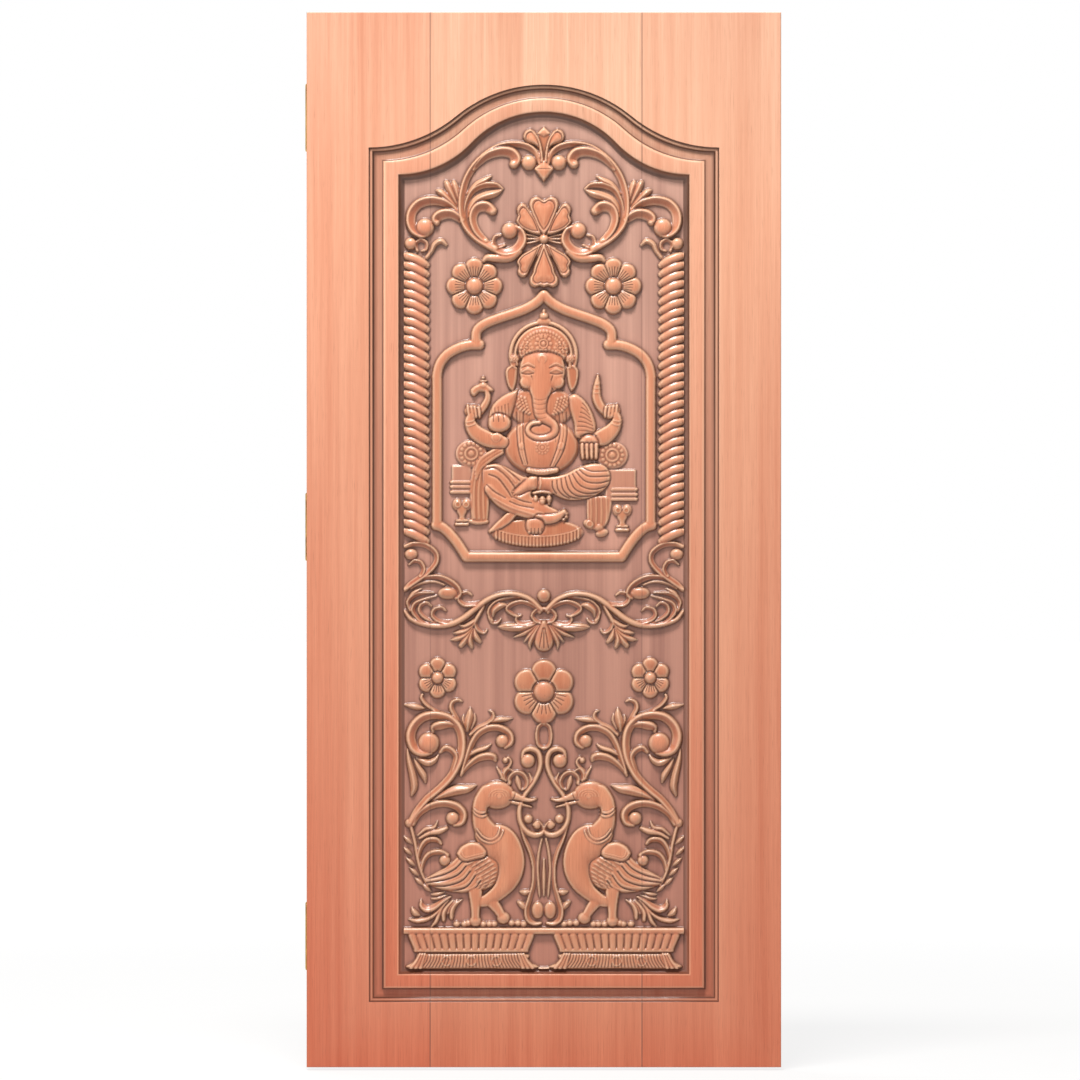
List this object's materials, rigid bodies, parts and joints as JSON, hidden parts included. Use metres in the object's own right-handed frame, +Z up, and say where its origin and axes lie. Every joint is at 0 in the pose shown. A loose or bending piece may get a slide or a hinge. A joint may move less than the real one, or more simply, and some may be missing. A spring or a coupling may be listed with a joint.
{
  "type": "carved temple door",
  "caption": "Tall carved wooden door leaf with an arched sunk panel, rope columns, scrolls, birds and a seated figure in a niche, swinging on butt hinges at one edge.",
  "frame": {"origin": "middle of the leaf's bottom edge, at half its thickness", "axes": "+Z up the leaf, -Y out of the carved face, +X toward the free edge, with the hinges on the -X edge"},
  "size_m": [0.9183, 0.0516, 2.032],
  "materials": {
    "carved_wood": "satin",
    "tongue_wood": "matte",
    "hinge_brass": "satin",
    "screw_brass": "satin"
  },
  "bodies": {
    "jamb_side": {"top_jamb_plate": "hinge_brass", "middle_jamb_plate": "hinge_brass", "bottom_jamb_plate": "hinge_brass", "top_pin": "hinge_brass", "middle_pin": "hinge_brass", "bottom_pin": "hinge_brass"},
    "leaf": {"left_board": "carved_wood", "middle_board": "carved_wood", "right_board": "carved_wood", "left_tongue": "tongue_wood", "right_tongue": "tongue_wood", "top_door_plate": "hinge_brass", "middle_door_plate": "hinge_brass", "bottom_door_plate": "hinge_brass", "hinge_screws": "screw_brass"}
  },
  "joints": [
    {"name": "leaf_swing", "type": "hinge", "parent": "jamb_side", "child": "leaf", "pos_m": [-0.45575, 0.02605, 0], "axis": [0, 0, 1], "range_deg": [0, 180]}
  ]
}
